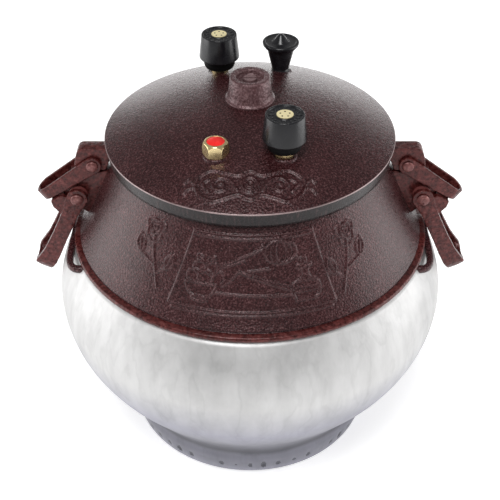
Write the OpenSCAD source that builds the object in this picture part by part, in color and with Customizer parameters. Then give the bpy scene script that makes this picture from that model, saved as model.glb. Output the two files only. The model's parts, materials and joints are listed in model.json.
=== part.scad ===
// Stovetop pressure cooker: a cast pot with a dark shoulder, a domed lid with two
// pressure weights, a safety valve and a steam release, and two lever clamps.
// Millimetres. The origin is the centre of the foot, +Z is up, +X goes through a clamp.

/* [Pot] */
// Radius of the foot where it stands on the stove
foot_r = 101; // [98:0.5:103]
// Height of the upright ring of the foot
foot_h = 20; // [18:0.5:22]
// Radius of the belly at its widest
belly_r = 159; // [156:0.5:161]
// Height of the widest part of the belly
belly_z = 139; // [136:0.5:141]
// Radius of the pot just under the ridge
ridge_r = 141.5; // [140.5:0.5:142]
// Height of the underside of the ridge
ridge_z = 186; // [185.5:0.5:187]
// Outer radius of the pot's rim
rim_r = 104.5; // [104:0.5:105.5]
// Height of the pot's rim
rim_z = 262; // [262:0.25:262.5]
// Radius of the mouth
mouth_r = 94.5; // [94.5:0.25:95.25]
// Thickness of the cast wall
wall = 5; // [4.5:0.25:5.5]

/* [Lid] */
// Radius of the lid's upper edge
lid_r = 112; // [111.5:0.5:113]
// Height of the lid's upper edge
lid_z = 278; // [277.5:0.5:279]
// Height of the dome above that edge
dome_h = 29; // [28:0.5:30]
// Thickness of the dome
dome_t = 5; // [4.5:0.5:5.5]
// Distance of each fitting from the lid's centre, along X
fitting_x = 24.5; // [24:0.5:26]
// Distance of each fitting from the lid's centre, along Y
fitting_y = 62; // [60:0.5:63]

/* [Fittings] */
// Radius of a weight's cap at its lower edge
weight_r = 16.1; // [15.5:0.1:16.5]
// Height of a weight's cap
weight_h = 20; // [19:0.5:21]
// Width of the safety valve's hexagon across its flats
hexagon = 17; // [16:0.5:18]
// Radius of the release knob's flange
release_r = 14.6; // [14:0.1:15]
// Lift of the release knob
release_lift = 4; // [3:0.5:4]

/* [Clamps] */
// Angle of each link below the horizontal
link_slope = 34.4; // [34:0.1:35]
// Length of a link from its pin to its closed end
link_length = 54; // [54:0.25:55]
// Angle of each lever below the horizontal
lever_slope = 64.5; // [64:0.5:65]
// Length of a lever from its pin to its closed end
lever_length = 80; // [78:0.5:82]
// Running clearance of a pin in its hole
clearance = 0.05; // [0.02:0.01:0.09]

/* [Hidden] */
$fn = 96;

// Colours
bare = [0.86, 0.86, 0.88];
enamel = [0.27, 0.17, 0.17];
red_enamel = [0.38, 0.18, 0.17];
black = [0.06, 0.06, 0.07];
brass = [0.83, 0.70, 0.38];
steel = [0.62, 0.62, 0.63];

// The shoulder, from the ridge to the rim
ridge_h = 5;
ridge_stand = 1.7;
shoulder = [[ridge_r - 2, ridge_z + ridge_h + 0.5], [131.3, 203.5], [121, 225], [111, 247],
    [rim_r, rim_z]];
// The belly, from the top of the foot to the ridge
belly = [[foot_r + 6, foot_h], [foot_r + 5.2, foot_h + 6], [foot_r + 10, foot_h + 17],
    [foot_r + 22, foot_h + 34], [belly_r - 16, belly_z - 57], [belly_r - 3.5, belly_z - 29],
    [belly_r, belly_z], [belly_r - 6, belly_z + 26], [ridge_r, ridge_z]];
curve_steps = 6;
floor_z = 9;
floor_r = 82;
foot_ring = 9;
foot_recess = 1.5;
lip_depth = 7;

// The lid's underside
skirt_r = lid_r - 2.3;
skirt_z = 265;
spigot_r = 93.5;
spigot_z = 258;
spigot_t = 3.5;
groove_in = 95.5;
groove_out = 103.5;
groove_z = 269.5;
gasket_gap = 0.15;
hub_r = 19.5;
hub_z = lid_z + dome_h - 0.7;

// The fittings' seats
seat_z = 296.2;
seat_r = 9.6;
pad_z = 288;
pad_r = 12;

// The clamps, in the XZ plane
link_pin = [123.5, 250.5];
lever_pin = [137.5, 222.5];
ear_half = 6.2;
lug_half = 6;
lug_r = 11;
boss_r = 7.5;
boss_half = 10.2;
link_in = 7;
link_out = 9.5;
link_eye_r = 7.2;
link_tip_r = 4.5;
link_pin_r = 3;
lever_in = 10.5;
lever_out = 14.5;
lever_eye_r = 8.5;
lever_pin_r = 4;
cam_half = 11;
nose_half = 4.4;

// Smooth curve through every point of p, with n steps between neighbours
function blend(a, b, c, d, t) = 0.5 * (2 * b + (c - a) * t + (2 * a - 5 * b + 4 * c - d) * t * t
    + (3 * b - a - 3 * c + d) * t * t * t);
function pick(p, i) = p[max(0, min(len(p) - 1, i))];
function smooth(p, n) = concat([for (i = [0 : len(p) - 2], k = [0 : n - 1])
    blend(pick(p, i - 1), p[i], p[i + 1], pick(p, i + 2), k / n)], [p[len(p) - 1]]);
// The same curve moved to its left by t
function heading(p, i) = pick(p, i + 1) - pick(p, i - 1);
function inward(p, t) = [for (i = [0 : len(p) - 1])
    p[i] + t * [-heading(p, i)[1], heading(p, i)[0]] / norm(heading(p, i))];
function reversed(p) = [for (i = [len(p) - 1 : -1 : 0]) p[i]];
// Height of the dome at a distance r from the centre, and its outline
function dome_z(r, t) = lid_z + dome_h * (1 - pow(r / lid_r, 2)) - t;
function dome_line(r, t, n) = [for (k = [0 : n]) [r * k / n, dome_z(r * k / n, t)]];

// Points of an arc round c from angle a0 to a1, in steps of about 15 degrees
function arc(c, r, a0, a1) = let (n = ceil(abs(a1 - a0) / 15))
    [for (k = [0 : n]) c + r * [cos(a0 + (a1 - a0) * k / n), sin(a0 + (a1 - a0) * k / n)]];
// Outline of a block from x0 to x1, with its two corners at x1 rounded
function rounded_end(x0, x1, half, r) = concat([[x0, -half]], arc([x1 - r, r - half], r, -90, 0),
    arc([x1 - r, half - r], r, 0, 90), [[x0, half]]);

// Stands the XZ outline of its children up as a plate of the given half thickness
module plate(half) {
    rotate([90, 0, 0])
        linear_extrude(2 * half, center = true)
            children();
}

// A round bar across the clamp at a point of the XZ plane
module cross_bar(at, r, half) {
    translate([at[0], 0, at[1]])
        rotate([90, 0, 0])
            cylinder(r = r, h = 2 * half, center = true);
}

module hexagon_bar(across, h) {
    cylinder(r = across / sqrt(3), h = h, $fn = 6);
}

module ring(r_out, r_in, h) {
    difference() {
        cylinder(r = r_out, h = h);
        translate([0, 0, -1])
            cylinder(r = r_in, h = h + 2);
    }
}

// ---- pot ----

module pot_shell() {
    outer_belly = smooth(belly, curve_steps);
    outer_shoulder = smooth(shoulder, curve_steps);
    inner_belly = inward([for (p = outer_belly) if (p[1] > foot_h + 16) p], wall);
    inner_shoulder = inward([for (p = outer_shoulder) if (p[1] < rim_z - 14) p], wall);
    inner = concat([[0, floor_z], [floor_r, floor_z], [floor_r + 12, floor_z + 5],
        [floor_r + 18, floor_z + 15]], inner_belly, inner_shoulder,
        [[mouth_r + 6, rim_z - lip_depth - 2], [mouth_r, rim_z - lip_depth], [mouth_r, rim_z]]);
    ridge_mid = [ridge_r - ridge_stand + 1, ridge_z + ridge_h / 2];
    rotate_extrude()
        polygon(concat([[0, foot_recess], [foot_r - foot_ring, foot_recess],
            [foot_r - foot_ring, 0], [foot_r, 0], [foot_r + 2, 2], [foot_r + 5, foot_h - 7]],
            outer_belly,
            [for (a = [-60 : 30 : 60]) ridge_mid + ridge_h / 2 * [cos(a), sin(a)]],
            outer_shoulder, reversed(inner)));
}

module pot_lug() {
    plate(lug_half) {
        polygon([[108.6, 247.2], [113.5, 243.4], [134, 243.2], [142.4, 242.8], [140.9, 233.6],
            [146.4, 217.6], [138.6, 211.6], [129.4, 202.4]]);
        translate(lever_pin)
            circle(r = lug_r);
    }
    cross_bar(lever_pin, boss_r, boss_half);
}

// The bar that a lever rests against, with its two ends cast into the pot
module rest_bar() {
    bar_out = 147;
    bar_t = 5.2;
    bar_half = 56;
    bar_z = 180;
    bar_h = 6;
    root_x = 131.5;
    translate([0, 0, bar_z])
        linear_extrude(bar_h)
            difference() {
                polygon(rounded_end(root_x, bar_out, bar_half, 12));
                polygon(rounded_end(root_x - 1, bar_out - bar_t, bar_half - bar_t, 6));
            }
}

module pot_body() {
    color(bare)
        difference() {
            union() {
                pot_shell();
                for (s = [0, 1])
                    mirror([s, 0, 0]) {
                        pot_lug();
                        rest_bar();
                    }
            }
            for (s = [0, 1])
                mirror([s, 0, 0])
                    cross_bar(lever_pin, lever_pin_r, boss_half + 1);
        }
}

// A riveted pin with two low round heads
module rivet(at, r, inner_half, head_r, head_h) {
    cross_bar(at, r, inner_half + 0.5);
    for (s = [0, 1])
        translate([at[0], 0, at[1]])
            mirror([0, s, 0])
                translate([0, inner_half, 0])
                    rotate([-90, 0, 0])
                        rotate_extrude()
                            polygon(concat([[0, 0], [head_r, 0]],
                                [for (a = [0 : 15 : 90]) [head_r - 1.5 + 1.5 * cos(a),
                                    head_h - 1.5 + 1.5 * sin(a)]], [[0, head_h]]));
}

module right_lever_pin() {
    color(red_enamel)
        rivet(lever_pin, lever_pin_r, lever_out + 0.3, 5, 2.4);
}

module left_lever_pin() {
    mirror([1, 0, 0])
        right_lever_pin();
}

// ---- lid ----

module lid_shell() {
    dome_rim = spigot_r - spigot_t - 2;
    rotate_extrude()
        polygon(concat(dome_line(lid_r - 1, 0, 24), [[lid_r, lid_z - 0.6], [skirt_r, skirt_z],
            [groove_out, skirt_z], [groove_out, groove_z], [groove_in, groove_z],
            [groove_in, skirt_z], [spigot_r, skirt_z], [spigot_r, spigot_z],
            [spigot_r - spigot_t, spigot_z], [spigot_r - spigot_t, skirt_z]],
            reversed(dome_line(dome_rim, dome_t, 18))));
}

// The ear that hangs from the lid's rim and holds a link's pin
module lid_ear() {
    plate(ear_half)
        polygon([[104.5, 268], [104.5, 265], [107.3, 264.4], [114.2, 246.4], [116, 244.8],
            [131, 244.8], [136, 246.2], [138, 248.6], [136.9, 255.6], [135.2, 261],
            [133.6, 263.4], [131, 264.6], [109.4, 264.6], [109.4, 268]]);
}

module at_fitting(sx, sy, z) {
    translate([sx * fitting_x, sy * fitting_y, z])
        children();
}

module lid_cover() {
    shank = [[1, -1, vent_r], [-1, 1, vent_r], [-1, -1, safety_shank_r], [1, 1, bushing_r]];
    color(enamel)
        difference() {
            union() {
                lid_shell();
                for (s = [0, 1])
                    mirror([s, 0, 0])
                        lid_ear();
                for (f = shank)
                    at_fitting(f[0], f[1], pad_z)
                        cylinder(r = seat_r, h = seat_z - pad_z);
                translate([0, 0, hub_z - 14])
                    cylinder(r = hub_r / 2, h = 13);
                translate([0, 0, hub_z - 3])
                    cylinder(r = hub_r, h = 3);
            }
            for (f = shank)
                at_fitting(f[0], f[1], 0) {
                    translate([0, 0, seat_z])
                        cylinder(r = seat_r, h = 20);
                    translate([0, 0, pad_z - 20])
                        cylinder(r = pad_r, h = 20);
                    translate([0, 0, pad_z - 1])
                        cylinder(r = f[2], h = 20);
                }
            translate([0, 0, hub_z])
                cylinder(r = hub_r, h = 10);
            translate([0, 0, hub_z - 10])
                cylinder(r = screw_r, h = 20);
            for (s = [0, 1])
                mirror([s, 0, 0])
                    cross_bar(link_pin, link_pin_r, ear_half + 1);
        }
}

module lid_gasket() {
    color([0.75, 0.73, 0.68])
        translate([0, 0, rim_z + gasket_gap])
            ring(groove_out, groove_in, groove_z - rim_z - gasket_gap);
}

// The knob in the middle of the lid, with a dished top
knob_top_r = 15.1;
knob_h = 19;
dish_r = 10.3;
dish_depth = 4;
screw_r = 3;
screw_head_r = 5;

module lid_knob() {
    color(enamel)
        translate([0, 0, hub_z])
            rotate_extrude()
                polygon(concat([[screw_r, 0], [hub_r - 0.6, 0], [hub_r - 0.6, 1],
                    [hub_r - 1.9, 2.6], [knob_top_r + 1.9, 4.6]],
                    [for (a = [0 : 15 : 90]) [knob_top_r - 1.5 + 1.5 * cos(a),
                        knob_h - 1.5 + 1.5 * sin(a)]],
                    [[dish_r + 1, knob_h], [dish_r, knob_h - 1], [dish_r - 0.8, knob_h - dish_depth],
                        [screw_r, knob_h - dish_depth]]));
}

module knob_screw() {
    color(steel)
        translate([0, 0, hub_z - 9]) {
            cylinder(r = screw_r, h = knob_h - dish_depth + 9);
            translate([0, 0, knob_h - dish_depth + 9])
                difference() {
                    cylinder(r = screw_head_r, h = 2.4);
                    translate([-screw_head_r, -0.6, 1.4])
                        cube([2 * screw_head_r, 1.2, 2]);
                }
        }
}

module right_link_pin() {
    color(red_enamel)
        rivet(link_pin, link_pin_r, link_out + 0.3, 4.6, 2.2);
}

module left_link_pin() {
    mirror([1, 0, 0])
        right_link_pin();
}

// ---- vents and weights ----

vent_r = 5;
vent_tip_z = 313;
vent_bore_r = 1.5;
vent_foot_r = 7;
vent_foot_h = 4;
vent_end_z = 279;
nut_h = 6;
nut_across = 15;

module vent_pipe() {
    color(brass)
        rotate_extrude()
            polygon([[vent_bore_r, vent_end_z], [vent_r, vent_end_z], [vent_r, seat_z],
                [vent_foot_r, seat_z], [vent_foot_r, seat_z + vent_foot_h - 1],
                [vent_foot_r - 1, seat_z + vent_foot_h], [vent_r, seat_z + vent_foot_h],
                [vent_r, vent_tip_z - 3], [2.4, vent_tip_z], [vent_bore_r, vent_tip_z]]);
}

module shank_nut(across, bore_r) {
    color(brass)
        translate([0, 0, pad_z - nut_h])
            difference() {
                hexagon_bar(across, nut_h);
                translate([0, 0, -1])
                    cylinder(r = bore_r, h = nut_h + 2);
            }
}

// A small perforated cup that keeps food out of the vent
module vent_strainer() {
    cup_r = 6.6;
    cup_h = 9;
    color(steel)
        translate([0, 0, pad_z - nut_h - cup_h])
            difference() {
                cylinder(r = cup_r, h = cup_h);
                translate([0, 0, 1])
                    cylinder(r = cup_r - 1, h = cup_h - 3);
                translate([0, 0, 1])
                    cylinder(r = vent_r, h = cup_h);
                for (a = [0 : 45 : 315])
                    rotate([0, 0, a])
                        translate([0, 0, 3.4])
                            rotate([0, 90, 0])
                                cylinder(r = 0.9, h = cup_r + 1);
                for (a = [0 : 60 : 300])
                    rotate([0, 0, a])
                        translate([3, 0, -1])
                            cylinder(r = 0.9, h = 3);
            }
}

cap_z = 309;
core_z = 301;
core_r = 13;
core_top_r = 11;
core_bore_r = 5.4;
cap_taper = 2.2;
disc_r = 6;
disc_t = 2;

module weight_core() {
    cap_roof = cap_z + weight_h - 4.5;
    color(black)
        difference() {
            union() {
                translate([0, 0, core_z])
                    cylinder(r = core_r, h = cap_z - core_z);
                translate([0, 0, cap_z])
                    cylinder(r = core_top_r, h = cap_roof - cap_z);
            }
            translate([0, 0, core_z - 1])
                cylinder(r = core_bore_r, h = vent_tip_z + 0.1 - core_z + 1);
            for (a = [0 : 90 : 270])
                rotate([0, 0, a + 45])
                    translate([0, 0, core_z + 4])
                        rotate([0, 90, 0])
                            cylinder(r = 1.5, h = core_r + 1);
        }
}

module weight_cap() {
    top_r = weight_r - cap_taper;
    top_z = cap_z + weight_h;
    roof_z = top_z - 4.5;
    color(black)
        rotate_extrude()
            polygon(concat([[0, roof_z], [core_top_r, roof_z], [core_top_r, cap_z],
                [weight_r - 0.8, cap_z], [weight_r, cap_z + 0.8]],
                [for (a = [0 : 22.5 : 90]) [top_r - 1 + cos(a), top_z - 1 + sin(a)]],
                [[top_r - 1.4, top_z], [top_r - 1.8, top_z - 0.8], [disc_r + 1.4, top_z - 0.8],
                    [disc_r + 1, top_z - 0.3], [disc_r, top_z - 0.3], [disc_r, top_z - disc_t],
                    [0, top_z - disc_t]]));
}

module weight_disc() {
    color(brass)
        translate([0, 0, cap_z + weight_h - disc_t])
            difference() {
                cylinder(r = disc_r, h = disc_t);
                for (a = [0 : 72 : 288])
                    rotate([0, 0, a + 18])
                        translate([3.5, 0, 1])
                            cylinder(r = 0.7, h = disc_t);
            }
}

module front_vent_pipe() { at_fitting(1, -1, 0) vent_pipe(); }
module rear_vent_pipe() { at_fitting(-1, 1, 0) vent_pipe(); }
module front_vent_nut() { at_fitting(1, -1, 0) shank_nut(nut_across, vent_r); }
module rear_vent_nut() { at_fitting(-1, 1, 0) shank_nut(nut_across, vent_r); }
module front_vent_strainer() { at_fitting(1, -1, 0) vent_strainer(); }
module rear_vent_strainer() { at_fitting(-1, 1, 0) vent_strainer(); }
module front_weight_cap() { at_fitting(1, -1, 0) weight_cap(); }
module rear_weight_cap() { at_fitting(-1, 1, 0) weight_cap(); }
module front_weight_core() { at_fitting(1, -1, 0) weight_core(); }
module rear_weight_core() { at_fitting(-1, 1, 0) weight_core(); }
module front_weight_disc() { at_fitting(1, -1, 0) weight_disc(); }
module rear_weight_disc() { at_fitting(-1, 1, 0) weight_disc(); }

// ---- safety valve ----

safety_h = 10.6;
safety_shank_r = 6;
safety_bore_r = 3;
plug_r = 6.6;
plug_depth = 3;

module safety_valve_body() {
    corner_r = hexagon / sqrt(3);
    color(brass)
        at_fitting(-1, -1, 0)
            difference() {
                union() {
                    intersection() {
                        translate([0, 0, seat_z])
                            hexagon_bar(hexagon, safety_h);
                        translate([0, 0, seat_z])
                            rotate_extrude()
                                polygon(concat([[0, 0], [corner_r - 0.8, 0], [corner_r, 0.8]],
                                    [for (a = [0 : 10 : 90]) [plug_r + 0.6
                                        + (corner_r - plug_r - 0.6) * cos(a),
                                        safety_h - 5 + 5 * sin(a)]], [[0, safety_h]]));
                    }
                    translate([0, 0, pad_z - nut_h - 2])
                        cylinder(r = safety_shank_r, h = seat_z - pad_z + nut_h + 3);
                }
                translate([0, 0, pad_z - nut_h - 3])
                    cylinder(r = safety_bore_r, h = 40);
                translate([0, 0, seat_z + safety_h - plug_depth])
                    cylinder(r = plug_r, h = 10);
            }
}

module safety_plug() {
    color([0.85, 0.12, 0.1])
        at_fitting(-1, -1, 0) {
            translate([0, 0, seat_z + safety_h - plug_depth])
                rotate_extrude()
                    polygon([[0, 0], [plug_r, 0], [plug_r, plug_depth - 0.4],
                        [plug_r - 0.5, plug_depth], [3, plug_depth + 0.5], [0, plug_depth + 0.6]]);
            translate([0, 0, pad_z])
                cylinder(r = safety_bore_r, h = seat_z + safety_h - plug_depth - pad_z + 0.5);
        }
}

module safety_valve_nut() {
    at_fitting(-1, -1, 0)
        shank_nut(hexagon, safety_shank_r);
}

// ---- steam release ----

bushing_r = 4;
bushing_head_r = 4.8;
bushing_top_z = seat_z + 1.8;
bushing_end_z = 281;
stem_r = 1.5;
release_z = seat_z + 0.4;
cavity_r = 5.2;
seal_t = 1.9;
flange_z = 317.7;
flange_h = 5;
peak_z = 329;
clip_z = 269;
clip_t = 1.5;
clip_r = 4;
spring_r = 3;
spring_wire_r = 0.5;
spring_turns = 4;

module release_bushing() {
    color(brass)
        at_fitting(1, 1, 0)
            rotate_extrude()
                polygon([[stem_r + 0.6, bushing_end_z], [bushing_r, bushing_end_z],
                    [bushing_r, seat_z], [bushing_head_r, seat_z],
                    [bushing_head_r, bushing_top_z], [stem_r + 0.6, bushing_top_z]]);
}

module release_nut() {
    at_fitting(1, 1, 0)
        shank_nut(12, bushing_r);
}

module release_knob() {
    seal_top = bushing_top_z + 0.1 + seal_t;
    trumpet = [for (k = [0 : 8]) [6.6 + 3.4 * pow(k / 8, 1.6),
        release_z + 2.2 + (flange_z - release_z - 2.2) * k / 8]];
    color(black)
        at_fitting(1, 1, 0)
            rotate_extrude()
                polygon(concat([[cavity_r, release_z], [7.3, release_z], [7.3, release_z + 1.4]],
                    trumpet, [[11.6, flange_z], [12.2, flange_z + 1.4], [13.4, flange_z + 1.6],
                    [13.8, flange_z + 2.8], [release_r, flange_z + 3.2],
                    [release_r, flange_z + 4.2], [release_r - 0.8, flange_z + flange_h],
                    [7.2, flange_z + flange_h], [1.6, peak_z - 0.4], [0.8, peak_z], [0, peak_z],
                    [0, seal_top + 7], [stem_r, seal_top + 7], [stem_r, seal_top],
                    [cavity_r, seal_top]]));
}

module release_stem() {
    seal_top = bushing_top_z + 0.1 + seal_t;
    color(steel)
        at_fitting(1, 1, clip_z - 2)
            cylinder(r = stem_r, h = seal_top + 7 - clip_z + 2);
}

module release_seal() {
    color([0.3, 0.3, 0.3])
        at_fitting(1, 1, bushing_top_z + 0.1)
            ring(cavity_r, stem_r, seal_t);
}

module release_clip() {
    color(steel)
        at_fitting(1, 1, clip_z)
            ring(clip_r, stem_r, clip_t);
}

// Return spring between the bushing and the clip: a round wire wound about the stem
module release_spring() {
    sides = 8;
    per_turn = 16;
    steps = spring_turns * per_turn;
    low = clip_z + clip_t + spring_wire_r + 0.05;
    high = bushing_end_z - spring_wire_r - 0.05;
    points = [for (i = [0 : steps], k = [0 : sides - 1])
        let (turn = 360 * i / per_turn, side = 360 * k / sides,
            r = spring_r + spring_wire_r * cos(side))
            [r * cos(turn), r * sin(turn),
                low + (high - low) * i / steps + spring_wire_r * sin(side)]];
    walls = [for (i = [0 : steps - 1], k = [0 : sides - 1])
        [i * sides + k, (i + 1) * sides + k, (i + 1) * sides + (k + 1) % sides,
            i * sides + (k + 1) % sides]];
    color(steel)
        at_fitting(1, 1, 0)
            polyhedron(points, concat(walls, [[for (k = [0 : sides - 1]) k],
                [for (k = [sides - 1 : -1 : 0]) steps * sides + k]]));
}

// ---- clamps ----

// Outline of a bar that tapers from a round end r0 at the origin to r1 at x = length
function tapered_bar(r0, r1, length) = let (lean = asin((r0 - r1) / length))
    concat(arc([0, 0], r0, 90 - lean, 270 + lean), arc([length, 0], r1, lean - 90, 90 - lean));

// A U-shaped strap that reaches from the lid's ear round the lever's nose
module right_link() {
    color(red_enamel)
        translate([link_pin[0], 0, link_pin[1]])
            rotate([0, link_slope, 0])
                difference() {
                    intersection() {
                        plate(link_out + 1)
                            polygon(tapered_bar(link_eye_r, link_tip_r, link_length));
                        translate([0, 0, -link_eye_r - 1])
                            linear_extrude(2 * link_eye_r + 2)
                                difference() {
                                    polygon(rounded_end(-link_eye_r - 1, link_length, link_out,
                                        link_out - 0.5));
                                    polygon(rounded_end(-link_eye_r - 2, link_length - link_out
                                        + link_in, link_in, link_in - 0.5));
                                }
                    }
                    cross_bar([0, 0], link_pin_r + clearance, link_out + 1);
                }
}

module left_link() {
    mirror([1, 0, 0])
        right_link();
}

// Side view of a lever, along +X from its pin
module lever_outline() {
    l = lever_length;
    polygon(concat([[14, 6.6], [40, 6.2], [58, 6.8], [67, 8.3], [73, 9.6], [75, 9],
        [l - 0.6, -1.6], [l, -3.6], [l - 1.2, -5.2], [68, -6.9], [58, -7], [40, -6.5],
        [14, -6.4]], arc([0, 0], lever_eye_r, 285, 75)));
}

// The cam between the lever's arms, in the frame of the link at rest: its outline from the
// lever's pin, and the nose that stands inside the link's closed end
module cam_outline() {
    polygon([[5, -4], [9, 7.6], [12, 8.6], [20.4, 8.6], [22.2, 4], [21.8, -4.4], [15.6, -11.5],
        [8, -9.5]]);
}

module nose_outline() {
    polygon([[13, 8], [14.6, 12], [21.4, 12.6], [22, 8]]);
}

module right_lever() {
    color(red_enamel)
        translate([lever_pin[0], 0, lever_pin[1]])
            difference() {
                union() {
                    rotate([0, lever_slope, 0])
                        intersection() {
                            plate(lever_out + 1)
                                lever_outline();
                            translate([0, 0, -20])
                                linear_extrude(40)
                                    difference() {
                                        polygon(rounded_end(-20, lever_length + 1, lever_out, 12));
                                        polygon(rounded_end(-21, lever_length - 5.4, lever_in, 8));
                                    }
                        }
                    rotate([0, link_slope, 0]) {
                        plate(cam_half)
                            cam_outline();
                        plate(nose_half)
                            nose_outline();
                    }
                }
                cross_bar([0, 0], lug_r + 0.8, lug_half + 0.6);
                cross_bar([0, 0], boss_r + 0.7, lever_in + 0.01);
                cross_bar([0, 0], lever_pin_r + clearance, lever_out + 1);
            }
}

module left_lever() {
    mirror([1, 0, 0])
        right_lever();
}

pot_body();
left_lever_pin();
right_lever_pin();
lid_cover();
lid_gasket();
lid_knob();
knob_screw();
left_link_pin();
right_link_pin();
front_vent_pipe();
rear_vent_pipe();
front_vent_nut();
rear_vent_nut();
front_vent_strainer();
rear_vent_strainer();
safety_valve_body();
safety_plug();
safety_valve_nut();
release_bushing();
release_nut();
left_link();
right_link();
left_lever();
right_lever();
front_weight_cap();
front_weight_core();
front_weight_disc();
rear_weight_cap();
rear_weight_core();
rear_weight_disc();
release_knob();
release_stem();
release_seal();
release_spring();
release_clip();
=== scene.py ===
"""Looks of a stovetop pressure cooker: a cast pot with an enamelled shoulder, a domed lid
with two pressure weights, a safety valve and a steam release, and two lever clamps.
Metres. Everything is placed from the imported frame."""
import json
import math

import bpy
import numpy as np
from mathutils import Matrix, Vector, noise
from mathutils.bvhtree import BVHTree


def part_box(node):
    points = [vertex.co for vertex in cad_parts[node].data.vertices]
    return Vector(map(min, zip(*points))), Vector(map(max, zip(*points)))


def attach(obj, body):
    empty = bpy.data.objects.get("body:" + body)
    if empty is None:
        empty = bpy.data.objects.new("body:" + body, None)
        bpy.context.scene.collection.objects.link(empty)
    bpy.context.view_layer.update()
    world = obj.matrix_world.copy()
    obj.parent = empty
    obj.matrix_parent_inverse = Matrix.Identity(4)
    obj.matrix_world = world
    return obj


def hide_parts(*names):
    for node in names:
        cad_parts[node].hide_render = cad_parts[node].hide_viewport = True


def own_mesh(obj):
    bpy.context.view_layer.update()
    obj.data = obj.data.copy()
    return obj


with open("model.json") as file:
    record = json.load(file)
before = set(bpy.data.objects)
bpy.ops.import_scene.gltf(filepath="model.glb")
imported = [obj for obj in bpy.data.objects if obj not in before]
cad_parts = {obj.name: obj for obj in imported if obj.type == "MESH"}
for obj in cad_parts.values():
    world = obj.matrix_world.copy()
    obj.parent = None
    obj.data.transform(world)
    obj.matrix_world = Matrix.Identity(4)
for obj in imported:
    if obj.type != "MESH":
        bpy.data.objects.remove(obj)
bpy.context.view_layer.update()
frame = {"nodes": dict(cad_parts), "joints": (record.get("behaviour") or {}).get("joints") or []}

MM = 0.001
NODES = frame["nodes"]


# ---------------------------------------------------------------- where things are

def low(node):
    """Lowest corner of a node's box."""
    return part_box(node)[0]


def high(node):
    """Highest corner of a node's box."""
    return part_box(node)[1]


def middle(node):
    """Centre of a node's box, in plan."""
    lo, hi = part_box(node)
    return ((lo.x + hi.x) / 2, (lo.y + hi.y) / 2)


def tree_of(node):
    """A node's surface, to measure by casting rays at it."""
    mesh = NODES[node].data
    return BVHTree.FromPolygons([v.co for v in mesh.vertices],
                                [list(p.vertices) for p in mesh.polygons])


def joint(name):
    """Centre of a hinge, in the row frame."""
    found = next(j for j in frame["joints"] if j["name"] == name)
    return Vector(found["pos_m"])


POT = tree_of("pot_body")
LID = tree_of("lid_cover")
RIM_Z = high("pot_body").z
LINK_PIN = joint("right_link_swing")
LEVER_PIN = joint("right_lever_lift")


def outside(tree, z):
    """Radius of a turned node's outer surface at height z, seen from the front."""
    hit = tree.ray_cast(Vector((0, -1, z)), Vector((0, 1, 0)))[0]
    return -hit.y


def inside(tree, z):
    """Radius of a hollow node's inner surface at height z."""
    hit = tree.ray_cast(Vector((0, 0, z)), Vector((0, -1, 0)))[0]
    return -hit.y


# ---------------------------------------------------------------- making meshes

def in_metres(outline, base=0):
    """An outline in millimetres, with or without corner radii, raised to a base in metres."""
    return [(p[0] * MM, base + p[1] * MM, *(radius * MM for radius in p[2:])) for p in outline]


def make_piece(name, verts, faces):
    """A smooth-shaded object with the given mesh, in the scene."""
    mesh = bpy.data.meshes.new(name)
    mesh.from_pydata([tuple(v) for v in verts], [], faces)
    mesh.validate()
    mesh.update()
    mesh.shade_smooth()
    piece = bpy.data.objects.new(name, mesh)
    bpy.context.scene.collection.objects.link(piece)
    return piece


def rounded(points, steps=4):
    """An outline of (x, y) or (x, y, radius) with each corner that has a radius rounded."""
    count = len(points)
    out = []
    for i, point in enumerate(points):
        here = Vector(point[:2])
        radius = point[2] if len(point) > 2 else 0
        if not radius:
            out.append(tuple(here))
            continue
        before = Vector(points[i - 1][:2]) - here
        after = Vector(points[(i + 1) % count][:2]) - here
        reach = min(radius, before.length * 0.49, after.length * 0.49)
        a, b = here + before.normalized() * reach, here + after.normalized() * reach
        for k in range(steps + 1):
            t = k / steps
            out.append(tuple(a * (1 - t) ** 2 + here * 2 * t * (1 - t) + b * t ** 2))
    return out


def even_angles(count):
    return [2 * math.pi * k / count for k in range(count)]


def turn(name, outline, angles=None, centre=(0, 0), closed=False, lift=None):
    """Turns an outline of (radius, height) round the upright axis through centre. Angle 0 is
    the front, -Y. closed joins the outline's last point to its first. lift(verts, rings) moves
    the points; rings says which point of the outline each of them came from."""
    angles = angles or even_angles(96)
    turns = len(angles)
    verts, rings, came_from = [], [], []
    for index, (radius, height) in enumerate(outline):
        if radius < 1e-7:
            rings.append([len(verts)] * turns)
            verts.append((centre[0], centre[1], height))
            came_from.append(index)
            continue
        rings.append(list(range(len(verts), len(verts) + turns)))
        came_from += [index] * turns
        verts += [(centre[0] + radius * math.sin(a), centre[1] - radius * math.cos(a), height)
                  for a in angles]
    faces = []
    for below, above in zip(rings, rings[1:] + (rings[:1] if closed else [])):
        for k in range(turns):
            n = (k + 1) % turns
            face = [below[k], below[n], above[n], above[k]]
            face = [v for i, v in enumerate(face) if v != face[i - 1]]
            if len(face) > 2:
                faces.append(face)
    if lift is not None:
        verts = lift(np.array(verts), np.array(came_from))
    return make_piece(name, verts, faces)


def turned_across(name, outline, at):
    """A turned piece whose axis runs along Y through the point at, with both its ends alike."""
    both = [(r, -y) for r, y in reversed(outline)] + list(outline)
    piece = turn(name, both, even_angles(48))
    piece.data.transform(Matrix.Translation(at) @ Matrix.Rotation(-math.pi / 2, 4, "X"))
    return piece


def apply_modifiers(piece):
    """Replaces a piece's mesh with what its modifiers make of it."""
    graph = bpy.context.evaluated_depsgraph_get()
    baked = bpy.data.meshes.new_from_object(piece.evaluated_get(graph))
    piece.modifiers.clear()
    old = piece.data
    piece.data = baked
    bpy.data.meshes.remove(old)
    piece.data.name = piece.name
    piece.data.shade_smooth()
    return piece


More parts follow.
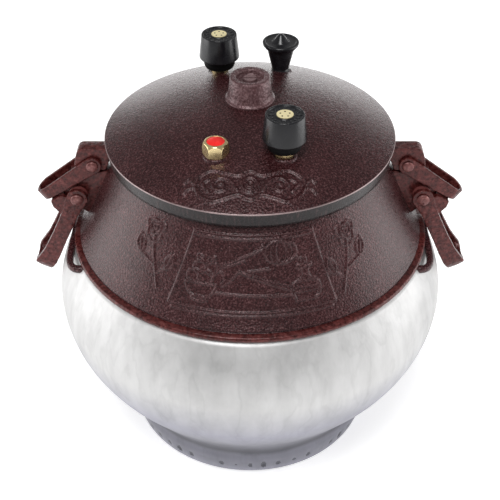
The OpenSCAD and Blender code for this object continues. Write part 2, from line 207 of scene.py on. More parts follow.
def plate(name, outline, half, bevel):
    """A plate with an outline in the XZ plane, from -half to half along Y, with eased edges."""
    count = len(outline)
    verts = [(x, y, z) for y in (-half, half) for x, z in outline]
    faces = [list(range(count)), list(range(2 * count - 1, count - 1, -1))]
    faces += [[i, i + count, (i + 1) % count + count, (i + 1) % count] for i in range(count)]
    piece = make_piece(name, verts, faces)
    ease = piece.modifiers.new("ease", "BEVEL")
    ease.width = bevel
    ease.segments = 3
    ease.limit_method = "ANGLE"
    ease.angle_limit = math.radians(32)
    apply_modifiers(piece)
    piece.modifiers.new("flat_faces", "WEIGHTED_NORMAL").keep_sharp = True
    return apply_modifiers(piece)


def softened(name, node, grain, rounds, roughness=0.0, rough_size=3 * MM):
    """A copy of a CAD node with its edges worn round and its surface left slightly uneven."""
    piece = bpy.data.objects.new(name, NODES[node].data.copy())
    piece.data.materials.clear()
    bpy.context.scene.collection.objects.link(piece)
    remesh = piece.modifiers.new("remesh", "REMESH")
    remesh.mode = "VOXEL"
    remesh.voxel_size = grain * 1
    remesh.use_smooth_shade = True
    soften = piece.modifiers.new("soften", "SMOOTH")
    soften.factor = 0.5
    soften.iterations = rounds
    apply_modifiers(piece)
    if roughness:
        uneven(piece, roughness, rough_size)
    return piece


def uneven(piece, depth, size):
    """Moves the surface in and out along its normals, like a sand casting."""
    mesh = piece.data
    moved = []
    for v in mesh.vertices:
        at = v.co / size
        swell = noise.noise(at) + 0.5 * noise.noise(at * 2.3 + Vector((7, 3, 1)))
        moved.append(v.co + v.normal * depth * swell)
    mesh.vertices.foreach_set("co", np.array(moved).ravel())
    mesh.update()


def joined(name, pieces):
    """Several meshes as one piece."""
    verts, faces = [], []
    for piece in pieces:
        start = len(verts)
        verts += [tuple(v.co) for v in piece.data.vertices]
        faces += [[start + i for i in p.vertices] for p in piece.data.polygons]
        bpy.data.objects.remove(piece)
    return make_piece(name, verts, faces)


def mirrored(piece, name):
    """The same piece for the other side, with its faces turned the right way out."""
    verts = [(-v.co.x, v.co.y, v.co.z) for v in piece.data.vertices]
    faces = [list(reversed(p.vertices)) for p in piece.data.polygons]
    return make_piece(name, verts, faces)


# ---------------------------------------------------------------- materials

def new_material(name, colour, metallic, roughness):
    """A material and its shader, with the plain values on the shader's own sockets."""
    material = bpy.data.materials.new(name)
    material.use_nodes = True
    shader = material.node_tree.nodes["Principled BSDF"]
    shader.inputs["Base Color"].default_value = (*colour, 1)
    shader.inputs["Metallic"].default_value = metallic
    shader.inputs["Roughness"].default_value = roughness
    return material, shader


def add(material, kind, **settings):
    """A new node. Settings name its properties, or its input sockets by their label."""
    node = material.node_tree.nodes.new(kind)
    for key, value in settings.items():
        label = key.replace("_", " ").title()
        if hasattr(node, key):
            setattr(node, key, value)
        else:
            node.inputs[label].default_value = value
    return node


def link(material, a, b):
    material.node_tree.links.new(a, b)


def pattern(material, kind, stretch=(1, 1, 1), **settings):
    """A texture node laid out in the piece's own metres, stretched along X, Y and Z."""
    place = add(material, "ShaderNodeTexCoord")
    spread = add(material, "ShaderNodeMapping")
    spread.inputs["Scale"].default_value = stretch
    texture = add(material, kind, **settings)
    link(material, place.outputs["Object"], spread.inputs["Vector"])
    link(material, spread.outputs["Vector"], texture.inputs["Vector"])
    return texture


def ramp(material, source, stops):
    """A colour ramp over a value: stops are (position, colour or grey)."""
    node = add(material, "ShaderNodeValToRGB")
    elements = node.color_ramp.elements
    while len(elements) < len(stops):
        elements.new(0.5)
    for element, (position, colour) in zip(elements, stops):
        element.position = position
        grey = isinstance(colour, (int, float))
        element.color = (colour, colour, colour, 1) if grey else (*colour, 1)
    link(material, source, node.inputs["Fac"])
    return node.outputs["Color"]


def blend_colours(material, share, a, b, blend="MIX"):
    """Mixes two colours; each may be a socket or a plain colour."""
    node = add(material, "ShaderNodeMix")
    node.data_type = "RGBA"
    node.blend_type = blend
    for value, socket in ((share, node.inputs[0]), (a, node.inputs[6]), (b, node.inputs[7])):
        if isinstance(value, bpy.types.NodeSocket):
            link(material, value, socket)
        elif isinstance(value, tuple):
            socket.default_value = (*value, 1)
        else:
            socket.default_value = value
    return node.outputs[2]


def bump(material, shader, height, strength, distance, below=None):
    """Fine relief from a pattern, over another bump if below is given."""
    node = add(material, "ShaderNodeBump")
    node.inputs["Strength"].default_value = strength
    node.inputs["Distance"].default_value = distance
    link(material, height, node.inputs["Height"])
    if below is not None:
        link(material, below.outputs["Normal"], node.inputs["Normal"])
    link(material, node.outputs["Normal"], shader.inputs["Normal"])
    return node


def edges_worn_and_highlit(material, start, end):
    """1 on sharp outer edges and 0 elsewhere."""
    shape = add(material, "ShaderNodeNewGeometry")
    return ramp(material, shape.outputs["Pointiness"], [(start, 0.0), (end, 1.0)])


def enamel(name, dark, light, edge, sheen_roughness, grain=620, streaks=None):
    """Hammered metallic enamel: a pebbled skin with pale flecks, paler on sharp edges and relief crests,
    partly thinner worn enamel and partly a painted highlight.
    streaks, a stretch along X, Y and Z, draws it out into lines instead."""
    material, shader = new_material(name, dark, 0.25, sheen_roughness)
    pebbles = pattern(material, "ShaderNodeTexVoronoi", scale=grain, randomness=1.0)
    flecks = pattern(material, "ShaderNodeTexNoise", scale=grain * 1.2, detail=3.0, roughness=0.7)
    clouds = pattern(material, "ShaderNodeTexNoise", scale=38.0, detail=3.0)
    speckle = ramp(material, flecks.outputs["Fac"], [(0.38, dark), (0.56, light), (0.72, edge)])
    cloudy = ramp(material, clouds.outputs["Fac"], [(0.3, 0.82), (0.7, 1.15)])
    skin = blend_colours(material, 1.0, speckle, cloudy, "MULTIPLY")
    # Sharp edges and relief crests take the edge colour: partly thinner, worn enamel, partly a painted
    # highlight.
    worn_and_highlit = blend_colours(material, edges_worn_and_highlit(material, 0.53, 0.66), skin, edge)
    link(material, worn_and_highlit, shader.inputs["Base Color"])
    gloss = ramp(material, flecks.outputs["Fac"],
                 [(0.3, sheen_roughness - 0.08), (0.7, sheen_roughness + 0.1)])
    link(material, gloss, shader.inputs["Roughness"])
    skin_bump = bump(material, shader, pebbles.outputs["Distance"], 0.6, 0.5 * MM)
    bump(material, shader, flecks.outputs["Fac"], 0.6, 0.5 * MM, below=skin_bump)
    if streaks:
        lines = pattern(material, "ShaderNodeTexNoise", stretch=streaks, scale=1.0, detail=4.0)
        drawn = ramp(material, lines.outputs["Fac"], [(0.35, dark), (0.6, light), (0.75, edge)])
        link(material, drawn, shader.inputs["Base Color"])
        bump(material, shader, lines.outputs["Fac"], 0.8, 0.2 * MM)
    shader.inputs["Specular IOR Level"].default_value = 0.3
    shader.inputs["Coat Weight"].default_value = 0.15
    shader.inputs["Coat Roughness"].default_value = 0.25
    return material


def bare_metal(name, colour, roughness, turned, cloud_depth=0.1, ring_depth=0.12 * MM,
               metallic=0.9):
    """Machined metal: fine turning rings, soft rubbed clouds and a few darker marks."""
    material, shader = new_material(name, colour, metallic, roughness)
    rings = pattern(material, "ShaderNodeTexNoise", stretch=turned, scale=1.0, detail=4.0)
    clouds = pattern(material, "ShaderNodeTexNoise", scale=26.0, detail=5.0, roughness=0.6)
    marks = pattern(material, "ShaderNodeTexNoise", scale=150.0, detail=2.0)
    dull = tuple(c * (1 - cloud_depth) for c in colour)
    cloudy = ramp(material, clouds.outputs["Fac"], [(0.35, dull), (0.65, colour)])
    marked = ramp(material, marks.outputs["Fac"], [(0.3, 0.9), (0.42, 1.0)])
    link(material, blend_colours(material, 1.0, cloudy, marked, "MULTIPLY"),
         shader.inputs["Base Color"])
    dulled = ramp(material, clouds.outputs["Fac"], [(0.3, roughness - 0.08), (0.7, roughness + 0.1)])
    link(material, dulled, shader.inputs["Roughness"])
    bump(material, shader, rings.outputs["Fac"], 0.25, ring_depth)
    return material


def belly_metal(name, sound, foot):
    """Rubbed cast aluminium: pale and mottled on the belly, with painted shade by height: darker and bluer
    under the belly and down at the foot, partly the foot's rougher casting and mostly painted shade and
    reflection.
    """
    material, shader = new_material(name, sound, 0.5, 0.5)
    place = add(material, "ShaderNodeTexCoord")
    split = add(material, "ShaderNodeSeparateXYZ")
    link(material, place.outputs["Object"], split.inputs["Vector"])
    clouds = pattern(material, "ShaderNodeTexNoise", scale=15.0, detail=6.0, roughness=0.6)
    runs = pattern(material, "ShaderNodeTexNoise", stretch=(90, 90, 16), scale=1.0, detail=5.0)
    marks = pattern(material, "ShaderNodeTexNoise", stretch=(55, 55, 20), scale=1.0, detail=4.0)
    scratches = pattern(material, "ShaderNodeTexNoise", stretch=(420, 420, 30), scale=1.0, detail=3.0)
    wavering = add(material, "ShaderNodeMath", operation="MULTIPLY_ADD")
    link(material, clouds.outputs["Fac"], wavering.inputs[0])
    wavering.inputs[1].default_value = 0.016
    link(material, split.outputs["Z"], wavering.inputs[2])
    spread = add(material, "ShaderNodeMapRange")
    spread.inputs["From Min"].default_value = 0.008
    spread.inputs["From Max"].default_value = 0.208
    link(material, wavering.outputs[0], spread.inputs["Value"])
    # Steps of the foot colour by height: painted shade, darkest in the undercut above the foot and lifting
    # up the belly, and a paler painted reflection low on the foot.
    painted_shade_steps = ((0.02, 1.6), (0.045, 1.15), (0.12, 1.0), (0.145, 0.5), (0.17, 0.6), (0.2, 0.72),
              (0.3, 0.95), (0.46, 1.6))
    stops = [(height, tuple(c * shade for c in foot)) for height, shade in painted_shade_steps]
    painted_shade_by_height = ramp(material, spread.outputs["Result"], stops + [(0.66, sound)])
    mottled = ramp(material, clouds.outputs["Fac"], [(0.32, 0.84), (0.5, 1.0), (0.68, 1.1)])
    streaky = ramp(material, runs.outputs["Fac"], [(0.3, 0.90), (0.55, 1.0), (0.72, 1.06)])
    marked = ramp(material, marks.outputs["Fac"], [(0.40, 1.0), (0.46, 0.93), (0.5, 1.0)])
    colour = painted_shade_by_height
    for layer in (mottled, streaky, marked):
        colour = blend_colours(material, 1.0, colour, layer, "MULTIPLY")
    link(material, colour, shader.inputs["Base Color"])
    dulled = ramp(material, clouds.outputs["Fac"], [(0.3, 0.40), (0.7, 0.58)])
    link(material, dulled, shader.inputs["Roughness"])
    scratched = bump(material, shader, scratches.outputs["Fac"], 0.3, 0.25 * MM)
    bump(material, shader, runs.outputs["Fac"], 0.4, 0.9 * MM, below=scratched)
    return material


def plastic(name, colour, roughness, grain_depth=0.04 * MM, specular=0.5):
    """Moulded plastic or rubber: a very fine grain and faint smudges in the gloss."""
    material, shader = new_material(name, colour, 0.0, roughness)
    shader.inputs["Specular IOR Level"].default_value = specular
    grain = pattern(material, "ShaderNodeTexNoise", scale=2400.0, detail=2.0)
    smudges = pattern(material, "ShaderNodeTexNoise", scale=120.0, detail=4.0)
    gloss = ramp(material, smudges.outputs["Fac"], [(0.3, roughness - 0.06), (0.7, roughness + 0.1)])
    link(material, gloss, shader.inputs["Roughness"])
    pale = tuple(min(1, c * 1.6 + 0.004) for c in colour)
    tint = ramp(material, smudges.outputs["Fac"], [(0.35, colour), (0.75, pale)])
    # Sharp edges turn paler: partly rubbed wear, partly a painted highlight.
    rubbed_and_highlit = blend_colours(material, edges_worn_and_highlit(material, 0.52, 0.62), tint, pale)
    link(material, rubbed_and_highlit, shader.inputs["Base Color"])
    bump(material, shader, grain.outputs["Fac"], 0.5, grain_depth)
    return material


DARK_ENAMEL = enamel("dark_enamel", (0.017, 0.0029, 0.0036), (0.052, 0.0145, 0.016),
                     (0.15, 0.075, 0.077), 0.25)
RED_ENAMEL = enamel("red_enamel", (0.040, 0.0062, 0.0056), (0.088, 0.016, 0.0145),
                    (0.17, 0.050, 0.046), 0.30, grain=300)
# The clamps' red enamel painted lighter for the rivets: a painted highlight on their domed heads.
HIGHLIT_RIVET_ENAMEL = enamel("rivet_enamel_painted_highlight", (0.105, 0.032, 0.031), (0.20, 0.075, 0.070),
                      (0.34, 0.16, 0.15), 0.32, grain=300)
# The lid's brown enamel painted lighter and pinker for the knob and its screw: painted sheen.
LIT_KNOB_ENAMEL = enamel("knob_enamel_painted_sheen", (0.070, 0.030, 0.033), (0.125, 0.064, 0.068),
                     (0.23, 0.145, 0.15), 0.25, grain=500)
# A far darker copy of the lid's brown enamel for the skirt: painted shade, with the skirt's brushed streaks
# drawn in.
RIM_ENAMEL = enamel("rim_enamel", (0.002, 0.0008, 0.001), (0.010, 0.004, 0.0045),
                    (0.060, 0.033, 0.034), 0.3, streaks=(700, 700, 14))
# The third colour, the foot's tone, is mostly painted shade and reflection, with a little of the foot's
# rougher casting.
ALUMINIUM = belly_metal("bare_aluminium", (0.56, 0.557, 0.555), (0.19, 0.189, 0.222))
CAST_ALUMINIUM = bare_metal("cast_aluminium", (0.55, 0.55, 0.57), 0.5, (300, 300, 300), 0.25)
DISC_BRASS = bare_metal("pale_brass", (0.98, 0.86, 0.50), 0.3, (60, 60, 1600), 0.1, 0.02 * MM, 0.35)
BRASS = bare_metal("brass_metal", (0.85, 0.68, 0.36), 0.2, (60, 60, 1600), 0.18, 0.03 * MM)
# A paler metal on the lid's top outer edge: a painted highlight along the rim.
RIM_EDGE_HIGHLIGHT = bare_metal("rim_edge_painted_highlight", (0.36, 0.27, 0.27), 0.34, (300, 300, 300), 0.4, 0.05 * MM, 0.6)
STEEL = bare_metal("turned_steel", (0.50, 0.50, 0.51), 0.3, (60, 60, 1600), 0.2, 0.05 * MM)
# A darker, bluer metal for the hammer dents round the foot: painted shade in the dents.
DENT_SHADE_METAL = bare_metal("dent_painted_shade", (0.095, 0.095, 0.115), 0.45, (300, 300, 300), 0.35, metallic=0.6)
BLACK_PLASTIC = plastic("black_plastic", (0.005, 0.005, 0.0065), 0.22, specular=0.4)
BLACK_METAL = plastic("blackened_metal", (0.002, 0.002, 0.0023), 0.5, specular=0.12)
RED_RUBBER = plastic("red_rubber", (0.78, 0.012, 0.009), 0.22)
SILICONE = plastic("silicone", (0.40, 0.38, 0.34), 0.45)
BLACK_RUBBER = plastic("black_rubber", (0.02, 0.02, 0.02), 0.6)


def finish_piece(piece, material, body, slot, *nodes):
    """Paints a piece, makes it ride on its body and hides the nodes it stands for."""
    piece.data.materials.clear()
    piece.data.materials.append(material)
    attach(piece, body)
    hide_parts(*nodes)
    return piece


def paint_node(node, material):
    """A CAD node that keeps its own shape, with its finish."""
    NODES[node].data.materials.clear()
    NODES[node].data.materials.append(material)


# ---------------------------------------------------------------- relief drawing

SHOULDER_LINE = (1.15 * MM, 0.68 * MM)  # height, half width
LID_LINE = (1.3 * MM, 1.0 * MM)


def arc(cx, cy, rx, ry, a0=0, a1=360):
    """Points of an ellipse's arc, from angle a0 to a1 in degrees."""
    steps = max(4, int(abs(a1 - a0) / 15))
    angles = [math.radians(a0 + (a1 - a0) * k / steps) for k in range(steps + 1)]
    return [(cx + rx * math.cos(a), cy + ry * math.sin(a)) for a in angles]


def curve(points, steps=6):
    """A smooth line through the points."""
    out = []
    for i in range(len(points) - 1):
        p = [points[max(0, min(len(points) - 1, i + k))] for k in (-1, 0, 1, 2)]
        for k in range(steps):
            t = k / steps
            out.append(tuple(0.5 * (2 * p[1][n] + (p[2][n] - p[0][n]) * t
                             + (2 * p[0][n] - 5 * p[1][n] + 4 * p[2][n] - p[3][n]) * t * t
                             + (3 * p[1][n] - p[0][n] - 3 * p[2][n] + p[3][n]) * t ** 3)
                             for n in (0, 1)))
    return out + [points[-1]]


def leaf(x, y, length, width, angle):
    """A pointed leaf with its mid rib, from (x, y)."""
    c, s = math.cos(math.radians(angle)), math.sin(math.radians(angle))

    def place(u, v):
        return (x + u * c - v * s, y + u * s + v * c)

    side = [(0, 0), (0.3, 0.9), (0.6, 1), (0.85, 0.5), (1, 0)]
    edges = [curve([place(length * u, sign * width * v / 2) for u, v in side]) for sign in (1, -1)]
    return edges + [[place(0, 0), place(length * 0.8, 0)]]


def drawn_height(px, py, strokes, line):
    """Height of raised lines at the points (px, py). Strokes are lists of points, in metres, and
    line is the lines' height and half width."""
    depth, width = line
    nearest = np.full(px.shape, 1.0)
    for stroke in strokes:
        for (x0, y0), (x1, y1) in zip(stroke, stroke[1:]):
            dx, dy = x1 - x0, y1 - y0
            span = dx * dx + dy * dy
            if span < 1e-14:
                continue
            reach = 4 * width
            near = ((px > min(x0, x1) - reach) & (px < max(x0, x1) + reach)
                    & (py > min(y0, y1) - reach) & (py < max(y0, y1) + reach))
            if not near.any():
                continue
            t = np.clip(((px[near] - x0) * dx + (py[near] - y0) * dy) / span, 0, 1)
            d = np.hypot(px[near] - x0 - t * dx, py[near] - y0 - t * dy)
            nearest[near] = np.minimum(nearest[near], d)
    return depth * np.exp(-(nearest / width) ** 2)


def shoulder_strokes():
    """The drawing on the shoulder: millimetres across, and millimetres up from its foot. A framed
    table with a bowl of fruit, a knife, a melon and a jug, and a flower stem at each side."""
    frame_line = [(-58, 14), (61, 14), (52, 71), (-46, 71), (-58, 14)]
    frame_edge = [curve([(-55, 11), (0, 11.4), (58, 11)]), curve([(-45, 68.4), (0, 68), (50, 68.4)])]
    bowl = [arc(-36, 34, 11.5, 12, 185, 355), [(-47.5, 33), (-24.5, 33)], arc(-36, 21.5, 5.5, 1.8)]
    fruit = [arc(-42, 38, 5, 5, -20, 230), arc(-33, 38, 5.4, 5.6, -30, 210), arc(-38, 45, 4.8, 4.6),
             arc(-28.5, 45, 4.6, 4.8), arc(-23, 39, 4.4, 4.4, -60, 200)]
    fruit += leaf(-33, 49, 8, 4, 35) + leaf(-35, 49, 7.5, 3.8, 140)
    knife = [curve([(-22, 48), (-5, 55), (10, 61)]), curve([(-22, 46.6), (-12, 50), (-4, 53)])]
    melon = [arc(24, 58, 12.5, 8.6), arc(24, 58, 8.4, 8.5, 90, 270), arc(24, 58, 4, 8.5, 90, 270),
             arc(24, 58, 4, 8.5, -90, 90), arc(24, 58, 8.4, 8.5, -90, 90),
             curve([(35, 54), (38, 50), (37, 46)]), curve([(13, 62), (10, 63.4), (8, 62)])]
    jug = [[(33, 20.5), (47, 20)], curve([(33, 20.5), (31, 26), (31, 32), (35, 35)]),
           curve([(47, 20), (51, 25), (51, 31), (47, 35)]), [(35, 35), (47, 35)],
           curve([(36, 35), (38.5, 39), (38, 43), (35.5, 45)]),
           curve([(46, 35), (43.5, 39), (44, 43), (46.5, 45)]),
           arc(41, 46, 5.6, 1.6), arc(41, 49.6, 2.2, 2.4), [(31, 27), (51, 26.4)], [(31, 30), (51.4, 29.6)]]
    cloth = [[(-9, 44.6), (30, 32.4)], [(-2, 44.5), (15, 46.4)], [(-9, 44.6), (31, 28.6)],
             [(-25, 27.6), (31, 25.6)], curve([(-20, 33), (-14, 38), (-9, 44)])]
    stems = []
    for s, lean in ((1, 0), (-1, 3)):
        stem = [curve([(69, 17), (74, 30), (79, 44), (81, 53)]), curve([(73, 27), (68, 31), (65, 34)]),
                curve([(75.5, 33), (84, 36), (90, 38)])]
        stem += [curve([(75, 57), (76, 51), (82, 49), (88, 52), (89, 58)]),
                 curve([(75, 57), (72, 63), (77, 67)]), curve([(89, 58), (91, 64), (86, 67)]),
                 arc(82, 60.5, 5, 5.4), arc(82, 60.5, 2, 2.2),
                 curve([(77, 67), (81, 64.4), (86, 67)])]
        stem += leaf(65, 33, 13, 6.5, 108) + leaf(90, 37, 15, 7.5, 72)
        stems += [[(s * x, y + lean) for x, y in stroke] for stroke in stem]
    strokes = [frame_line] + frame_edge + bowl + fruit + knife + melon + jug + cloth + stems
    return [[(x * MM, y * MM) for x, y in stroke] for stroke in strokes]


def lid_strokes():
    """A scrolled cartouche near the lid's front edge, in plan: a rosette between two scrolls."""
    y, bend = -90, 0.0012
    upper = curve([(-39, 0), (-36, 7), (-27, 12), (-17, 9.5), (-8, 7.5), (0, 11),
                   (8, 7.5), (17, 9.5), (27, 12), (36, 7), (39, 0)])
    lower = [(px, -py) for px, py in upper]
    strokes = [upper, lower, arc(0, 0, 5.4, 5.4), arc(0, 0, 2, 2)]
    for s in (-1, 1):
        scroll = curve([(9, -4), (14, 3), (21, 5.5), (26.5, 1.5), (24.5, -3.6), (19, -3.6),
                        (18.4, 0.4), (21.6, 1)])
        tip = curve([(29, 5), (33.6, 1.4), (30, -4)])
        fan = [curve([(39, 1), (43, 5.4), (46, 3.4)]), curve([(39, -1), (44, -2), (46.5, -5)])]
        strokes += [[(s * px, py) for px, py in stroke] for stroke in [scroll, tip] + fan]
    return [[(px * MM, (y + py + bend * px * px) * MM) for px, py in stroke] for stroke in strokes]


def dense_angles(half, fine, coarse, both_sides):
    """Angles all round: fine steps within half of the drawings' middle, and coarse ones between.
    both_sides puts a second set of fine steps at the back."""
    stops = [(-half, half, fine), (half, 180 - half if both_sides else 360 - half, coarse)]
    if both_sides:
        stops += [(180 - half, 180 + half, fine), (180 + half, 360 - half, coarse)]
    out = []
    for start, end, step in stops:
        count = max(1, round((end - start) / step))
        out += [math.radians(start + (end - start) * k / count) for k in range(count)]
    return out


# ---------------------------------------------------------------- the pot

WALL_SHARE = 2.2 * MM  # how far under the enamel the bare casting starts
RIDGE_LOW = 185.6 * MM
FOOT_RING = 9 * MM
FOOT_RECESS = 1.5 * MM
FLOOR_Z = POT.ray_cast(Vector((0, 0, 0.1)), Vector((0, 0, -1)))[0].z


def even(start, end, step):
    """Evenly spaced values from start to end, about a step apart."""
    count = max(1, round((end - start) / step))
    return [start + (end - start) * k / count for k in range(count + 1)]


def faired(measure, at, reach):
    """A measured size averaged over a few points to either side, so facets don't show."""
    return sum(measure(at + reach * k / 3) for k in range(-3, 4)) / 7


def surface(measure, start, end, step, reach):
    """Points (radius, height) of the pot's surface between two heights, faired."""
    return [(faired(lambda z: measure(POT, z), z, reach), z) for z in even(start, end, step)]


def dents(angle, height):
    """How deep, from 0 to 1, the row of hammer dents round the foot is at a place."""
    row = np.exp(-((height - 11 * MM) / (4.4 * MM)) ** 2)
    strength = 0.55 + 0.45 * np.sin(angle * 5 + 1) * np.sin(angle * 13)
    return row * strength * np.clip(np.cos(angle * 52 + 0.6 * np.sin(angle * 9)), 0, 1)


def build_pot_belly():
    """The bare casting: foot, belly, the wall under the shoulder, rim and inside."""
    foot_r = outside(POT, 0.3 * MM)
    mouth_r = inside(POT, RIM_Z - 1 * MM)
    rim_r = outside(POT, RIM_Z - 1 * MM)
    foot = [(0, FOOT_RECESS), (foot_r - FOOT_RING - 0.6 * MM, FOOT_RECESS),
            (foot_r - FOOT_RING, 0.6 * MM), (foot_r - FOOT_RING + 0.8 * MM, 0),
            (foot_r - 1.2 * MM, 0), (foot_r - 0.2 * MM, 0.5 * MM)]
    belly = surface(outside, 1.9 * MM, 14 * MM, 1 * MM, 1 * MM)
    belly += surface(outside, 16 * MM, RIDGE_LOW - 1.6 * MM, 2 * MM, 1.5 * MM)
    covered = surface(outside, RIDGE_LOW + 8 * MM, RIM_Z - 3 * MM, 6 * MM, 1 * MM)
    hidden = [(belly[-1][0] - 2 * WALL_SHARE, RIDGE_LOW)] + [(r - WALL_SHARE, z) for r, z in covered]
    rim = [(rim_r - WALL_SHARE, RIM_Z - 0.2 * MM), (mouth_r + 1 * MM, RIM_Z - 0.02 * MM),
           (mouth_r + 0.3 * MM, RIM_Z - 0.3 * MM), (mouth_r, RIM_Z - 1 * MM)]
    inner = surface(inside, FLOOR_Z + 1.6 * MM, RIM_Z - 8.4 * MM, 3 * MM, 1 * MM)
    floor = [(inner[0][0] - 2 * MM, FLOOR_Z), (0, FLOOR_Z)]
    outline = foot + belly + hidden + rim + list(reversed(inner)) + floor

    def lift(verts, _):
        angle = np.arctan2(verts[:, 0], -verts[:, 1])
        spread = np.hypot(verts[:, 0], verts[:, 1])
        sunk = 1.4 * MM * dents(angle, verts[:, 2]) * (spread > foot_r - 1 * MM)
        verts[:, 0] -= np.sin(angle) * sunk
        verts[:, 1] += np.cos(angle) * sunk
        return verts

    piece = turn("pot_belly", outline, even_angles(720), lift=lift)
    finish_piece(piece, ALUMINIUM, "pot", "cast_aluminium", "pot_body")
    # Faces in the deeper hammer dents take the darker metal: painted shade.
    piece.data.materials.append(DENT_SHADE_METAL)
    for face in piece.data.polygons:
        x, y, z = face.center
        if z < 20 * MM and math.hypot(x, y) > foot_r - 2 * MM and dents(math.atan2(x, -y), z) > 0.32:
            face.material_index = 1


def build_pot_shoulder():
    """The enamelled shoulder, with its ridge and the drawings cast on its front and back."""
    fine = 1
    ridge_mid = RIDGE_LOW + 2.9 * MM
    ridge_r = outside(POT, ridge_mid)
    ridge = [(ridge_r - 2.4 * MM + 2.5 * MM * math.cos(a), ridge_mid + 2.6 * MM * math.sin(a))
             for a in (math.radians(d) for d in range(-80, 61, 14))]
    slope = surface(outside, ridge_mid + 4.4 * MM, RIM_Z - 0.6 * MM, 0.5 * MM * fine, 0.5 * MM)
    groove_r = slope[0][0] - 1.1 * MM
    groove = [(groove_r + 0.9 * MM, ridge_mid + 2.5 * MM), (groove_r, ridge_mid + 2.8 * MM),
              (groove_r, ridge_mid + 3.6 * MM), (slope[0][0] - 0.25 * MM, ridge_mid + 4 * MM)]
    rim_r = slope[-1][0]
    back = [(rim_r - 0.5 * MM, RIM_Z - 0.15 * MM), (rim_r - WALL_SHARE + 0.2 * MM, RIM_Z - 0.1 * MM)]
    back += [(r - WALL_SHARE - 0.3 * MM, z) for r, z in reversed(slope[::12])]
    back += [(ridge_r - 2 * WALL_SHARE - 2 * MM, RIDGE_LOW + 0.05 * MM)]
    outline = ridge + groove + slope + back
    first, last = len(ridge) + len(groove), len(ridge) + len(groove) + len(slope)
    along = np.zeros(len(outline))
    for i in range(first + 1, last):
        along[i] = along[i - 1] + math.dist(outline[i], outline[i - 1])
    middle_r = outside(POT, RIDGE_LOW + 35 * MM)

    def lift(verts, ring):
        front_angle = np.arctan2(verts[:, 0], -verts[:, 1])
        back_angle = np.arctan2(-verts[:, 0], verts[:, 1])
        angle = np.where(np.abs(front_angle) < math.pi / 2, front_angle, back_angle)
        raised = drawn_height(angle * middle_r, along[ring], shoulder_strokes(), SHOULDER_LINE)
        raised[(ring < first) | (ring >= last)] = 0
        verts[:, 0] += np.sin(front_angle) * raised * 0.9
        verts[:, 1] -= np.cos(front_angle) * raised * 0.9
        verts[:, 2] += raised * 0.45
        return verts

    angles = dense_angles(56, 0.25 * fine, 1.5, True)
    piece = turn("pot_shoulder", outline, angles, closed=True, lift=lift)
    finish_piece(piece, DARK_ENAMEL, "pot", "brown_enamel", "pot_body")
    piece.data.materials.append(RED_ENAMEL)
    for face in piece.data.polygons:
        if face.center.z < ridge_mid + 2.4 * MM:
            face.material_index = 1


def build_lugs():
    """The pivot lug and the rest bar of each clamp, cast on the pot."""
    b = LEVER_PIN
    swell = [(b.x / MM + 11 * math.cos(a), b.z / MM + 11 * math.sin(a))
             for a in (math.radians(d) for d in range(60, -71, -10))]
    outline = [(108.6, 247.2), (113.5, 243.4, 1.5), (134, 243.2), (142.4, 242.8, 1.5), (141.6, 234, 1.5)]
    outline += swell + [(140, 211.4, 2), (129.4, 202.4)]
    lug = plate("lug", in_metres(rounded(outline)), 6 * MM, 1.1 * MM)
    boss = turned_across("boss", in_metres([(7.5, 0), (7.5, 9.6), (6.9, 10.2), (0, 10.2)]), b)
    right = joined("right_pot_lug", [lug, boss])
    bar = build_rest_bar()
    left, left_bar = mirrored(right, "left_pot_lug"), mirrored(bar, "left_rest_bar")
    for piece in (right, left):
        finish_piece(piece, RED_ENAMEL, "pot", "red_brown_enamel", "pot_body")
    for piece in (bar, left_bar):
        finish_piece(piece, DARK_ENAMEL, "pot", "brown_enamel", "pot_body")


def build_rest_bar():
    """A round-edged bar that stands off the pot, with its ends bent back into the wall."""
    mid_x, half, thick, low_z, tall = 143.9, 53, 5.6, 179.8, 6
    end = [(131.5, -half), (137.5, -half + 0.4), (141.8, -half + 4.5), (143.5, -half + 12),
           (mid_x, -half + 22)]
    path = curve(end + [(mid_x, 0)] + [(x, -y) for x, y in reversed(end)], 8)
    section = rounded([(-thick / 2, 0, 2.6), (thick / 2, 0, 2.6), (thick / 2, tall, 2.6),
                       (-thick / 2, tall, 2.6)])
    piece = swept("right_rest_bar", [Vector((x * MM, y * MM, low_z * MM)) for x, y in path],
                  in_metres(section))
    uneven(piece, 0.15 * MM, 5 * MM)
    return piece


def swept(name, path, section):
    """A section (outward, up) carried along a level path."""
    verts, count = [], len(section)
    for i, at in enumerate(path):
        way = (path[min(i + 1, len(path) - 1)] - path[max(i - 1, 0)]).normalized()
        out = Vector((way.y, -way.x, 0))
        verts += [at + out * a + Vector((0, 0, b)) for a, b in section]
    starts = range(0, len(verts), count)
    faces = [[a + k, a + (k + 1) % count, b + (k + 1) % count, b + k]
             for a, b in zip(starts, starts[1:]) for k in range(count)]
    faces += [list(range(count - 1, -1, -1)), [starts[-1] + k for k in range(count)]]
    return make_piece(name, verts, faces)


# ---------------------------------------------------------------- the lid

LID_R = 112 * MM
LID_Z = 278 * MM
SKIRT_R = 109.7 * MM
SKIRT_Z = 265 * MM
GROOVE_IN, GROOVE_OUT, GROOVE_Z = 95.5 * MM, 103.5 * MM, 269.5 * MM
SPIGOT_IN, SPIGOT_OUT, SPIGOT_Z = 90 * MM, 93.5 * MM, 258 * MM
SEAT_R = 9.6 * MM
SEAT_Z = 296.2 * MM
FITTINGS = ("front_vent_pipe", "rear_vent_pipe", "safety_plug", "release_bushing")


def lid_top(radius):
    """Height of the dome over a radius, measured where no fitting stands."""
    hit = LID.ray_cast(Vector((radius, 0.001, 0.4)), Vector((0, 0, -1)))[0]
    return hit.z


def lid_under(radius):
    """Height of the lid's underside at a radius."""
    hit = LID.ray_cast(Vector((radius, 0.001, 0.2)), Vector((0, 0, 1)))[0]
    return hit.z


